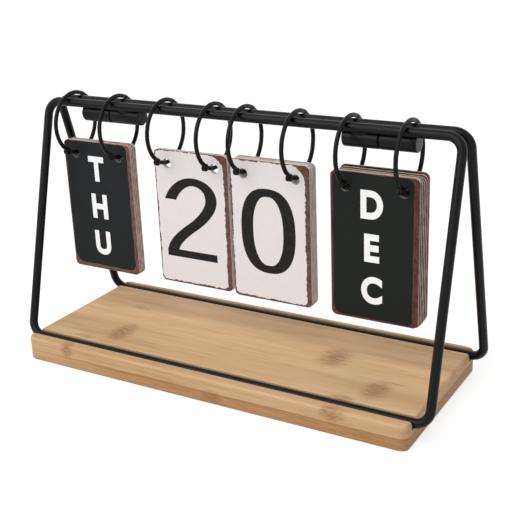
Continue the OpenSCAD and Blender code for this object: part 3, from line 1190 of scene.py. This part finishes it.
@dataclass
class BookRings:
    """The two hinged rings of one stack, in millimetres, with the turn of the tab in degrees."""

    stack: Stack
    wire: float = 1.195
    tab_width: float = 2.0
    eye_radius: float = 2.1
    eye_thick: float = 1.0
    eye_gap: float = 0.2
    eye_soft: float = 0.14
    tab_start: float = 1.2
    tab_turn: float = 15.0
    hinge_out: float = 0.7
    bore: float = 0.82
    pin: float = 0.78
    head: float = 1.35
    head_thick: float = 0.45
    head_gap: float = 0.1
    head_seat: float = 0.02
    sleeve: float = 1.3
    sleeve_length: float = 3.4
    sleeve_run: float = 1.5
    collar_run: float = 0.4
    mouth_flare: float = 0.1
    mouth_depth: float = 0.3
    mouth_round: float = 0.15
    end_soft: float = 0.12
    end_round: float = 0.1
    end_cap: float = 0.5
    soft: float = 0.2
    tongue: float = 0.55
    tongue_length: float = 1.8
    clear: float = 0.3
    blend_length: float = 1.8
    sides: int = 24

    def sweep(self, ring: RingPlace, degrees: np.ndarray, radial: np.ndarray, axial: np.ndarray,
              shift: np.ndarray, power: np.ndarray) -> np.ndarray:
        """Carry a rounded outline round the ring.

        The outline is a superellipse: cosine and sine to the power 2 over the given one, times the
        half sizes across and along the ring's axis.

        Args:
            ring: The ring's place.
            degrees: Angle of each station, 0 to the rear and 90 up.
            radial: Half size away from the ring's middle.
            axial: Half size along X.
            shift: Offset along X.
            power: Power of the superellipse, 2 for an ellipse.

        Returns:
            Points by station, turn and coordinate.
        """
        turn = np.linspace(0, 2 * np.pi, self.sides, endpoint=False)
        cos, sin = np.cos(turn), np.sin(turn)
        share = (2.0 / power)[:, None]
        out = radial[:, None] * np.sign(cos) * np.abs(cos) ** share
        aside = axial[:, None] * np.sign(sin) * np.abs(sin) ** share
        angle = np.radians(degrees)[:, None]
        grid = np.empty((len(degrees), self.sides, 3))
        grid[..., 0] = ring.middle[0] + shift[:, None] + aside
        grid[..., 1] = ring.middle[1] + (ring.radius + out) * np.cos(angle)
        grid[..., 2] = ring.middle[2] + (ring.radius + out) * np.sin(angle)
        return grid

    def tail(self, distance: np.ndarray, side: int) -> tuple[np.ndarray, ...]:
        """Flatten the round wire towards the hinge.

        The flat share is a smooth step: the share of the blend's length squared, times three less
        twice the share.

        Args:
            distance: Length along the wire from the pin's middle.
            side: -1 or 1, the side of the hinge that the eye is on.

        Returns:
            Radial and axial half size, offset along X and power of the outline.
        """
        flat_from = self.eye_radius + self.clear
        share = np.clip((flat_from + self.blend_length - distance) / self.blend_length, 0, 1)
        share = share * share * (3 - 2 * share)
        radial = self.wire + (self.tab_width / 2 - self.wire) * share
        axial = self.wire + (self.eye_thick / 2 - self.wire) * share
        shift = side * (self.eye_gap + self.eye_thick) / 2 * share
        return radial, axial, shift, 2.0 + 4.0 * share

    def eye(self, shell: Shell, ring: RingPlace, side: int) -> None:
        """Turn a flat washer with broken rims round the hinge pin.

        Args:
            shell: The half under work.
            ring: The ring's place.
            side: -1 or 1, the side of the hinge that the eye is on.
        """
        near = side * self.eye_gap / 2
        far = side * (self.eye_gap / 2 + self.eye_thick)
        soft = side * self.eye_soft
        rim, soft_rim = self.eye_radius, self.eye_radius - self.eye_soft
        along = np.array([near, near, near + soft, far - soft, far, far])
        radius = np.array([self.bore, soft_rim, rim, rim, soft_rim, self.bore])
        shell.add_grid(turned(ring.middle[0] + along, radius, ring.pin, 36), round_rows=True)

    def back_half(self, shell: Shell, ring: RingPlace) -> None:
        """Add the half that carries the cards: eye, flat tab, wire and tongue.

        Args:
            shell: The stack's rear halves.
            ring: The ring's place.
        """
        hinge, per_mm = ring.hinge, ring.per_mm
        end = hinge + 180 - per_mm * self.clear / 2
        degrees = np.concatenate([
            np.linspace(hinge + per_mm * self.tab_start, hinge + self.tab_turn, 16),
            np.linspace(hinge + self.tab_turn + 1, end - 2, 64),
            [end - per_mm * self.end_soft, end, end],
        ])
        radial, axial, shift, power = self.tail((degrees - hinge) / per_mm, -1)
        radial[-2:] = axial[-2:] = (self.wire - self.end_round, self.end_cap)
        shell.add_grid(self.sweep(ring, degrees, radial, axial, shift, power))
        tip = end + per_mm * (self.clear + self.tongue_length)
        degrees = np.array([end - 1.0, tip - per_mm * self.soft, tip, tip])
        size = np.array([self.tongue, self.tongue, self.tongue - self.soft, self.soft])
        shell.add_grid(self.sweep(ring, degrees, size, size, size * 0, size * 0 + 2.0))
        self.eye(shell, ring, -1)

    def front_half(self, shell: Shell, ring: RingPlace) -> None:
        """Add the half that hangs over the bars: bored sleeve, wire, flat tab and eye.

        Args:
            shell: The front half under work.
            ring: The ring's place.
        """
        hinge, per_mm = ring.hinge, ring.per_mm
        mouth = hinge - 180 + per_mm * self.clear / 2
        collar = mouth + per_mm * self.sleeve_length
        hole = self.tongue + self.clear
        depth = self.tongue_length + self.clear
        steps = np.array([depth, self.mouth_depth, 0.0, 0.0, self.soft, self.sleeve_run])
        sizes = np.array([hole, hole, hole + self.mouth_flare, self.sleeve - self.mouth_round,
                          self.sleeve, self.sleeve, self.sleeve, self.wire])
        degrees = np.concatenate([
            mouth + per_mm * steps, collar - per_mm * np.array([self.collar_run, self.soft]),
            np.linspace(collar, hinge - self.tab_turn - 1, 48),
            np.linspace(hinge - self.tab_turn, hinge - per_mm * self.tab_start, 16),
        ])
        radial, axial, shift, power = self.tail((hinge - degrees) / per_mm, 1)
        radial[:len(sizes)] = axial[:len(sizes)] = sizes
        shell.add_grid(self.sweep(ring, degrees, radial, axial, shift, power))
        self.eye(shell, ring, 1)

    def rivet(self, shell: Shell, ring: RingPlace) -> None:
        """Turn the hinge pin with its two domed heads.

        A dome is a quarter of an ellipse: its radius goes with the sine and its rise with the cosine
        of the turn.

        Args:
            shell: The stack's pins.
            ring: The ring's place.
        """
        out = self.eye_gap / 2 + self.eye_thick
        left, right = -out - self.head_seat, out + self.head_gap
        dome = np.radians(np.linspace(8, 90, 7))
        radius = self.head * np.sin(dome)
        rise = self.head_thick * np.cos(dome)
        along = np.concatenate([left - rise, [left, right], right + rise[::-1]])
        size = np.concatenate([radius, [self.pin, self.pin], radius[::-1]])
        shell.add_grid(turned(ring.middle[0] + along, size, ring.pin, 28))

    def build(self, coat: Material) -> None:
        """Make the rear halves, the pins and the two front halves.

        Args:
            coat: The rings' material.
        """
        label = self.stack.value.label
        middle = self.stack.value.ring_middle
        backs, pins = Shell(), Shell()
        for side in ("left", "right"):
            pivot = joint_place(f"{label}_{side}_ring_open")
            reach = pivot[1:] - middle[1:]
            hinge = math.degrees(math.atan2(reach[1], reach[0])) % 360
            radius = np.linalg.norm(reach) - self.hinge_out
            ring = RingPlace(np.array([pivot[0], *middle[1:]]), radius, pivot[1:], hinge)
            self.back_half(backs, ring)
            self.rivet(pins, ring)
            front = Shell()
            self.front_half(front, ring)
            front.piece(f"{label}_ring_{side}_hoop", f"{label}_ring_{side}", "black_ring", [coat],
                        (f"{label}_ring_front_{side}",))
        backs.piece(f"{label}_ring_back_hoops", f"{label}_rings", "black_ring", [coat],
                    (f"{label}_ring_backs",))
        pins.piece(f"{label}_ring_rivets", f"{label}_rings", "black_ring", [coat],
                   (f"{label}_ring_pins",))


def bezier(points: list[tuple[float, float]], steps: int = 14) -> np.ndarray:
    """Sample joined cubic curves, each with two handles between its ends.

    A point is the sum of the ends and handles, times the rest cubed, three times the rest squared
    and the share, three times the rest and the share squared, and the share cubed.

    Args:
        points: First end, then two handles and an end for each curve.
        steps: Samples on each curve.

    Returns:
        Points on the joined curves.
    """
    share = np.linspace(0, 1, steps, endpoint=False)[:, None]
    ends = np.array(points, float)
    parts = []
    for first in range(0, len(ends) - 1, 3):
        a, b, c, d = ends[first:first + 4]
        rest = 1 - share
        parts.append(a * rest**3 + 3 * b * rest**2 * share + 3 * c * rest * share**2 + d * share**3)
    return np.vstack([*parts, ends[-1:]])


def superellipse(middle: tuple[float, float], half: tuple[float, float], power: float) -> np.ndarray:
    """Sample a closed superellipse: cosine and sine to the power 2 over the given one.

    Args:
        middle: Its middle.
        half: Its half sizes.
        power: Its power, 2 for an ellipse.

    Returns:
        Points all round, the last one apart from the first.
    """
    turn = np.linspace(0, 2 * np.pi, 72, endpoint=False)
    both = np.stack([np.cos(turn), np.sin(turn)], 1)
    return np.array(middle) + np.array(half) * np.sign(both) * np.abs(both) ** (2 / power)


@dataclass(frozen=True)
class DigitPen:
    """Draws the digits, in millimetres, with a broad pen that is wider in upright strokes."""

    upright: float = 3.75
    level: float = 2.25
    height: float = 48.6

    def stroke(self, path: np.ndarray, closed: bool = False, level_start: bool = False) -> Figure:
        """Lay the pen along a path.

        The half width is the length of the unit normal after its X is multiplied by the upright and
        its Z by the level half width.

        Args:
            path: Points of the middle line, X and Z.
            closed: The last point joins the first one.
            level_start: Cut the start along a level line.

        Returns:
            The figure's points and faces.
        """
        if closed:
            way = np.roll(path, -1, 0) - np.roll(path, 1, 0)
        else:
            way = np.gradient(path, axis=0)
        way = way / np.linalg.norm(way, axis=1, keepdims=True)
        normal = np.stack([-way[:, 1], way[:, 0]], 1)
        half = np.hypot(normal[:, 0] * self.upright, normal[:, 1] * self.level)[:, None]
        left, right = path + normal * half, path - normal * half
        if level_start:
            for side in (left, right):
                side[0] += way[0] * (path[0, 1] - side[0, 1]) / way[0, 1]
        return np.vstack([left, right]), turned_over(quads(2, len(path), closed))

    def block(self, low: tuple[float, float], high: tuple[float, float]) -> Figure:
        """Give a plain upright rectangle."""
        corners = np.array([low, (high[0], low[1]), high, (low[0], high[1])])
        return corners, np.array([[0, 1, 2, 3]])

    def digit(self, sign: str) -> list[Figure]:
        """Draw one digit with its foot at 0 and its middle at 0.

        Args:
            sign: The digit.

        Returns:
            The figures of its strokes.
        """
        top = self.height
        high = top - self.level
        low = self.level
        if sign == "0":
            return [self.stroke(superellipse((0, top / 2), (13.15, top / 2 - low), 2.4), True)]
        if sign == "1":
            flag = bezier([(-9.0, 37.6), (-5.6, 39.4), (-2.0, 42.2), (1.2, 46.6)])
            return [self.block((-1.2, 0), (6.3, top)), self.stroke(flag)]
        if sign == "2":
            neck = bezier([
                (-13.4, 34.8), (-10.8, 40.8), (-4.3, high), (2.2, high), (9.1, high), (14.25, 42.2),
                (14.25, 36.6), (14.25, 30.6), (6.5, 23.4), (1.0, 19.5), (-5.0, 15.2), (-13.9, 8.6),
                (-13.9, 2.0),
            ])
            return [self.stroke(neck, level_start=True), self.block((-17.65, 0), (16.5, 4.5))]
        if sign == "3":
            upper = bezier([
                (-13.4, 36.2), (-11.2, 42.4), (-6.0, high), (0.2, high), (8.0, high), (12.6, 42.0),
                (12.6, 36.4), (12.6, 30.2), (7.4, 25.6), (-3.5, 25.6),
            ])
            lower = bezier([
                (-3.5, 25.6), (8.6, 25.6), (13.8, 20.4), (13.8, 13.8), (13.8, 6.6), (8.0, low),
                (0.0, low), (-7.2, low), (-12.8, 6.0), (-14.4, 12.4),
            ])
            return [self.stroke(upper), self.stroke(lower)]
        if sign == "4":
            slope = np.array([(7.2, 46.0), (-4.5, 30.0), (-15.0, 14.2)])
            return [self.block((2.6, 0), (10.1, top)), self.block((-18.0, 11.6), (16.8, 16.1)),
                    self.stroke(slope)]
        if sign == "5":
            stem = np.array([(-9.2, top), (-10.4, 36.0), (-11.6, 23.4)])
            bowl = bezier([
                (-11.0, 24.0), (-8.0, 27.0), (-4.0, 28.8), (0.4, 28.8), (8.8, 28.8), (13.8, 23.0),
                (13.8, 15.6), (13.8, 7.4), (8.0, low), (-0.4, low), (-7.4, low), (-12.6, 5.6),
                (-14.4, 11.4),
            ])
            return [self.block((-11.5, 44.1), (14.6, top)), self.stroke(stem), self.stroke(bowl)]
        if sign == "6":
            arch = bezier([
                (12.0, 38.6), (10.2, 43.6), (6.4, high), (1.4, high), (-8.6, high), (-13.2, 37.0),
                (-13.2, 21.0), (-13.2, 19.0), (-13.2, 17.0), (-13.1, 14.6),
            ])
            bowl = superellipse((0.1, 15.4), (13.2, 13.15), 2.2)
            return [self.stroke(arch), self.stroke(bowl, True)]
        if sign == "7":
            leg = bezier([(14.0, 45.6), (4.6, 33.6), (-4.4, 18.0), (-6.0, 0.0)])
            return [self.block((-17.4, 44.1), (17.2, top)), self.stroke(leg)]
        if sign == "8":
            upper = superellipse((0, 35.9), (11.0, 10.45), 2.15)
            lower = superellipse((0, 13.85), (13.4, 11.6), 2.15)
            return [self.stroke(upper, True), self.stroke(lower, True)]
        return [(np.array([0.0, top]) - points, faces) for points, faces in self.digit("6")]


@dataclass(frozen=True)
class LetterSet:
    """Bold sans letters, one under the other, in millimetres.

    The weight is added to the built-in face at its own size, and narrow is a factor.
    """

    cap: float = 15.3
    pitch: float = 23.2
    lift: float = 0.4
    weight: float = 0.045
    narrow: float = 0.87
    shift: float = -1.3

    def letter(self, sign: str) -> Figure:
        """Give one letter of the built-in face, narrowed and fitted to the cap height.

        Args:
            sign: The letter.

        Returns:
            The figure's points and faces, round its own middle.
        """
        curve = bpy.data.curves.new("letter", "FONT")
        curve.body = sign
        curve.offset = self.weight
        holder = placed("letter", curve)
        graph = bpy.context.evaluated_depsgraph_get()
        mesh = bpy.data.meshes.new_from_object(holder.evaluated_get(graph))
        flat = mesh_rows(mesh.vertices, "co", 3)[:, :2]
        mesh.calc_loop_triangles()
        faces = mesh_rows(mesh.loop_triangles, "vertices", 3, np.int32)
        bpy.data.objects.remove(holder)
        bpy.data.curves.remove(curve)
        bpy.data.meshes.remove(mesh)
        low, high = flat.min(0), flat.max(0)
        scale = self.cap / (high[1] - low[1])
        flat = (flat - (low + high) / 2) * np.array([scale * self.narrow, scale])
        side, other = flat[faces[:, 1]] - flat[faces[:, 0]], flat[faces[:, 2]] - flat[faces[:, 0]]
        area = side[:, 0] * other[:, 1] - side[:, 1] * other[:, 0]
        return flat, np.where(area[:, None] < 0, faces[:, ::-1], faces)

    def word(self, signs: str) -> list[Figure]:
        """Stack the letters of a word downwards round the card's middle.

        Args:
            signs: The word.

        Returns:
            The letters' figures.
        """
        figures = []
        for row, sign in enumerate(signs):
            flat, faces = self.letter(sign)
            rise = self.lift + ((len(signs) - 1) / 2 - row) * self.pitch
            figures.append((flat + np.array([self.shift, rise]), faces))
        return figures


@dataclass
class CardStack:
    """The cards of one stack with their print, in millimetres.

    The bevel is on edges that turn by more than the angle that it starts from, in degrees.
    """

    stack: Stack
    corner: float = 3.0
    hole_drop: float = 8.0
    hole: float = 2.75
    band: float = 16.0
    arc_steps: int = 8
    ring_shares: tuple[float, ...] = (0.0, 0.06, 0.5, 1.0)
    bevel: float = 0.14
    bevel_from: float = 60.0
    close: float = 0.01
    ink: float = 0.06
    ink_step: float = 0.008
    digit_shift: float = -1.5
    digit_lift: float = 0.6
    pen: DigitPen = DigitPen()
    letters: LetterSet = LetterSet()

    def hole_cell(self, width: float, height: float, hole_x: float, columns: np.ndarray) -> Figure:
        """Fill the upper right quarter of a card round its hole.

        Rings of points go straight from the hole's circle to the cell's outline.

        Args:
            width: Width of the card.
            height: Height of the card.
            hole_x: Distance of the hole from the card's middle.
            columns: X of the points on the cell's lower side.

        Returns:
            The figure's points and faces.
        """
        half, top = width / 2, height / 2
        low = top - self.band
        turn = np.radians(np.linspace(0, 90, self.arc_steps))
        right = np.linspace(low, top - self.corner, 7)[1:-1]
        upper = np.linspace(half - self.corner, 0, 13)[1:]
        left = np.linspace(top, low, 10)[1:-1]
        arc = np.stack([np.cos(turn), np.sin(turn)], 1) * self.corner
        outline = np.vstack([
            np.stack([columns, np.full_like(columns, low)], 1),
            np.stack([np.full_like(right, half), right], 1),
            arc + np.array([half - self.corner, top - self.corner]),
            np.stack([upper, np.full_like(upper, top)], 1),
            np.stack([np.zeros_like(left), left], 1),
        ])
        middle = np.array([hole_x, top - self.hole_drop])
        way = outline - middle
        circle = middle + self.hole * way / np.linalg.norm(way, axis=1, keepdims=True)
        grid = circle + (outline - circle) * np.array(self.ring_shares)[:, None, None]
        return grid.reshape(-1, 2), turned_over(quads(*grid.shape[:2]))

    def blank(self, width: float, height: float, hole_x: float) -> Figure:
        """Draw the card's face: two hole cells above and a plain grid below.

        The grid's rows are as wide as the rounded outline at their height.

        Args:
            width: Width of the card.
            height: Height of the card.
            hole_x: Distance of a hole from the card's middle.

        Returns:
            The figure's points and faces, round the card's middle.
        """
        columns = np.linspace(0, width / 2, 13)
        cell, cell_faces = self.hole_cell(width, height, hole_x, columns)
        mirror = cell * np.array([-1.0, 1.0])
        across = np.concatenate([-columns[:0:-1], columns]) / (width / 2)
        turn = np.radians(np.linspace(0, 90, self.arc_steps))
        rows = np.concatenate([
            np.linspace(height / 2 - self.band, -height / 2 + self.corner, 14)[:-1],
            -height / 2 + self.corner * (1 - np.sin(turn)),
        ])
        reach = np.full(len(rows), width / 2)
        reach[-self.arc_steps:] -= self.corner * (1 - np.cos(turn))
        grid = np.stack([np.outer(reach, across), np.repeat(rows[:, None], len(across), 1)], -1)
        lower = turned_over(quads(*grid.shape[:2], round_columns=False))
        points = np.vstack([cell, mirror, grid.reshape(-1, 2)])
        faces = np.vstack([cell_faces, cell_faces[:, ::-1] + len(cell), lower + 2 * len(cell)])
        _, first, same = np.unique(np.round(points, 4), axis=0, return_index=True, return_inverse=True)
        return points[first], same.reshape(-1)[faces]

    def card(self, node: str, seed: float, materials: list[Material]) -> None:
        """Make one card with its UV map and seed.

        Args:
            node: The card's node.
            seed: Number that makes its wear its own.
            materials: Face, edge and hole wall.
        """
        low, high = node_box(node)
        middle = (low + high) / 2
        width, _, height = high - low
        plan = self.stack.value
        hole_x = joint_place(f"{plan.label}_right_ring_open")[0] - plan.ring_middle[0]
        flat, faces = self.blank(width, height, hole_x)
        shell = Shell()
        from_hole = np.abs(np.abs(flat[:, 0]) - hole_x), flat[:, 1] - height / 2 + self.hole_drop
        bored = np.hypot(*from_hole) < self.hole + self.close
        shell.add_slab(flat + middle[[0, 2]], faces, low[1], high[1], 1, bored)
        made = shell.piece(node + "_board", node, plan.tone.value, materials, (node,), 30.0)
        mesh = made.data
        corners = mesh_rows(mesh.loops, "vertex_index", 1, np.int32)[:, 0]
        place = mesh_rows(mesh.vertices, "co", 3)[corners] / MM
        chart = (place[:, [0, 2]] - low[[0, 2]]) / np.array([width, height])
        mesh.uv_layers.new(name="card").data.foreach_set("uv", chart.astype(np.float32).ravel())
        attribute = mesh.attributes.new("card_seed", "FLOAT", "POINT")
        attribute.data.foreach_set("value", np.full(len(mesh.vertices), seed, np.float32))
        soft = made.modifiers.new("soft_edge", "BEVEL")
        soft.width = self.bevel * MM
        soft.segments = 2
        soft.limit_method = "ANGLE"
        soft.angle_limit = math.radians(self.bevel_from)

    def figures(self, marks: str) -> list[Figure]:
        """Draw the marks of one face round the card's middle.

        Args:
            marks: Letters of a dark card or the digit of a light one.

        Returns:
            The figures of the letters or strokes.
        """
        if self.stack.value.tone is Tone.DARK:
            return self.letters.word(marks)
        offset = np.array([self.digit_shift, self.digit_lift - self.pen.height / 2])
        return [(flat + offset, faces) for flat, faces in self.pen.digit(marks)]

    def print_marks(self, node: str, front: str, rear: str, ink: Material) -> None:
        """Print both faces of a card.

        The rear marks are turned round, so that they read from behind. Each stroke lies a little
        higher than the one before, so that no two faces coincide where strokes cross.

        Args:
            node: The card's node.
            front: Marks of the front face.
            rear: Marks of the rear face.
            ink: The print's material.
        """
        low, high = node_box(node)
        middle = (low + high)[[0, 2]] / 2
        sink = self.ink / 3
        shell = Shell()
        for marks, hand, face in ((front, 1, low[1]), (rear, -1, high[1])):
            for number, (flat, faces) in enumerate(self.figures(marks)):
                height = self.ink + number * self.ink_step
                span = sorted((face - hand * height, face + hand * sink))
                shell.add_slab(flat * np.array([hand, 1.0]) + middle, faces[:, ::hand], *span)
        shell.piece(node + "_print", node, self.stack.value.tone.value, [ink])

    def build(self, materials: list[Material], ink: Material) -> None:
        """Make all cards of the stack from front to rear.

        Args:
            materials: Face, edge and hole wall of the cards.
            ink: The print's material.
        """
        plan = self.stack.value
        for number, (front, rear) in enumerate(zip(plan.fronts, plan.rears), 1):
            node = f"{plan.label}_card_{number}"
            seed = number + 10.0 * list(Stack).index(self.stack)
            self.card(node, seed, materials)
            self.print_marks(node, front, rear, ink)


@dataclass
class Studio:
    """Pale floor, a soft lamp and the camera at the photograph's angle.

    The camera's place is in millimetres, and the lamp's and the floor's sizes are in metres.
    """

    camera_place: Point = (278.76, -447.47, 261.42)
    azimuth: float = 30.97
    elevation: float = 20.16
    roll: float = 2.32
    lens: float = 70.40
    sensor: float = 36.0
    near: float = 0.01
    shift: tuple[float, float] = (-0.0031, -0.0021)
    sky: float = 0.66
    lamp_place: Point = (-0.35, -1.08, 1.05)
    lamp_aim: Point = (0.0, 0.0, 0.07)
    lamp_side: float = 1.6
    lamp_watts: float = 15.5
    floor_half: float = 6.0
    floor_grey: float = 0.5
    floor_glow: float = 0.66

    def camera(self) -> None:
        """Look from the camera's place along the azimuth and elevation, tilted by the roll."""
        turn, rise, tilt = (math.radians(v) for v in (self.azimuth, self.elevation, self.roll))
        level = Vector((-math.sin(turn), math.cos(turn), 0.0)) * math.cos(rise)
        ahead = level - Vector((0.0, 0.0, math.sin(rise)))
        right = ahead.cross(Vector((0, 0, 1))).normalized()
        down = ahead.cross(right)
        across = right * math.cos(tilt) + down * math.sin(tilt)
        under = down * math.cos(tilt) - right * math.sin(tilt)
        data = bpy.data.cameras.new("camera")
        data.lens = self.lens
        data.sensor_width = self.sensor
        data.shift_x, data.shift_y = self.shift
        data.clip_start = self.near
        holder = placed("camera", data)
        turn_matrix = Matrix((across, -under, -ahead)).transposed().to_4x4()
        holder.matrix_world = Matrix.Translation(Vector(self.camera_place) * MM) @ turn_matrix
        bpy.context.scene.camera = holder

    def lamp(self) -> None:
        """Hang a square soft lamp that looks at the calendar's middle."""
        data = bpy.data.lights.new("key", "AREA")
        data.energy = self.lamp_watts
        data.size = self.lamp_side
        holder = placed("key", data)
        holder.location = self.lamp_place
        aim = Vector(self.lamp_aim) - Vector(self.lamp_place)
        holder.rotation_euler = aim.to_track_quat("-Z", "Y").to_euler()

    def seen(self, nodes: Nodes) -> Socket:
        """Find the rays that show the background: camera, glossy and transmission rays.

        Args:
            nodes: The node tree under work.

        Returns:
            A socket that is 1 for those rays.
        """
        path = nodes.add("ShaderNodeLightPath").outputs
        total = nodes.math("MAXIMUM", path["Is Camera Ray"], path["Is Glossy Ray"])
        return nodes.math("MAXIMUM", total, path["Is Transmission Ray"])

    def world(self) -> None:
        """Show white to the camera and light the object with a softer white."""
        made = bpy.data.worlds.new("studio_sky")
        made.use_nodes = True
        nodes = Nodes(made.node_tree)
        back = nodes.tree.nodes["Background"].inputs
        strength = nodes.fed("ShaderNodeMapRange", (self.seen(nodes), 0.0, 1.0, self.sky, 1.0))
        nodes.join((1.0, 1.0, 1.0, 1.0), back["Color"])
        nodes.join(strength, back["Strength"])
        bpy.context.scene.world = made

    def floor(self) -> None:
        """Lay a pale floor that keeps the shadow and is white where the light is full."""
        half = self.floor_half
        mesh = bpy.data.meshes.new("floor")
        corners = [(-half, -half, 0), (half, -half, 0), (half, half, 0), (-half, half, 0)]
        mesh.from_pydata(corners, [], [(0, 1, 2, 3)])
        bench = Bench("pale_floor")
        glow = bench.math("MULTIPLY", self.seen(bench), self.floor_glow)
        bench.join((1.0, 1.0, 1.0, 1.0), bench.shader.inputs["Emission Color"])
        bench.join(glow, bench.shader.inputs["Emission Strength"])
        mesh.materials.append(bench.dress((self.floor_grey,) * 3, 1.0, 0.0))
        holder = placed("floor", mesh)

    def build(self) -> None:
        """Set up the view, the camera, the light and the floor."""
        bpy.context.scene.view_settings.view_transform = "Standard"
        self.camera()
        self.world()
        self.floor()
        self.lamp()


def card_finishes() -> dict[Stack, tuple[list[Material], Material]]:
    """Make the cards' papers, cut edges and inks.

    Returns:
        For each stack the face, the edge and the hole wall, and the ink of its marks.
    """
    weekday = CardPaper(
        "weekday_card_face", linear(32, 35, 36), linear(122, 93, 83), linear(96, 69, 60),
        WornBorder(0.8, 2.4, 2.1, 0.2, 3.0, 3.5, 7.5, 4.5, 0.25, 0.4)).make()
    month = CardPaper(
        "month_card_face", linear(28, 31, 29), linear(101, 64, 55), linear(78, 47, 41),
        WornBorder(1.3, 3.1, 1.1, 0.3, 4.0, 4.0, 5.5, 3.0, 0.25, 0.45)).make()
    light = CardPaper(
        "light_card_face", linear(236, 230, 230), linear(114, 86, 75), linear(90, 64, 54),
        WornBorder(0.8, 2.8, 1.1, 0.5, 3.2, 9.0, 3.0, 2.6, 0.6, 0.35)).make()
    edge = CardEdge("card_edge", linear(241, 234, 227), linear(208, 195, 186)).make()
    brown_edge = CardEdge("brown_card_edge", linear(222, 206, 194), linear(164, 140, 126)).make()
    white = PrintInk("white_ink", linear(255, 255, 255), linear(250, 249, 248)).make()
    black = PrintInk("black_ink", linear(32, 28, 29), linear(50, 45, 45)).make()
    grey_hole = CardEdge("grey_hole_wall", linear(176, 172, 168), linear(126, 121, 117)).make()
    return {
        Stack.WEEKDAY: ([weekday, brown_edge, grey_hole], white),
        Stack.TENS: ([light, edge, edge], black),
        Stack.ONES: ([light, edge, edge], black),
        Stack.MONTH: ([month, brown_edge, grey_hole], white),
    }


def main() -> None:
    """Build the studio, the stand and the four stacks."""
    logging.basicConfig(level=logging.INFO, format="%(name)s: %(message)s")
    Studio().build()
    BaseBoard().build(Bamboo().make())
    WireStand().build(BlackCoat("black_powder_coat", linear(7, 7, 8), 0.28, 2.2, 0.02, 0.17).make())
    ring_coat = BlackCoat("black_ring_coat", linear(9, 8, 9), 0.28, 3.0, 0.01, 0.16).make()
    finishes = card_finishes()
    for stack in Stack:
        BookRings(stack).build(ring_coat)
        CardStack(stack).build(*finishes[stack])


if __name__ == "__main__":
    main()
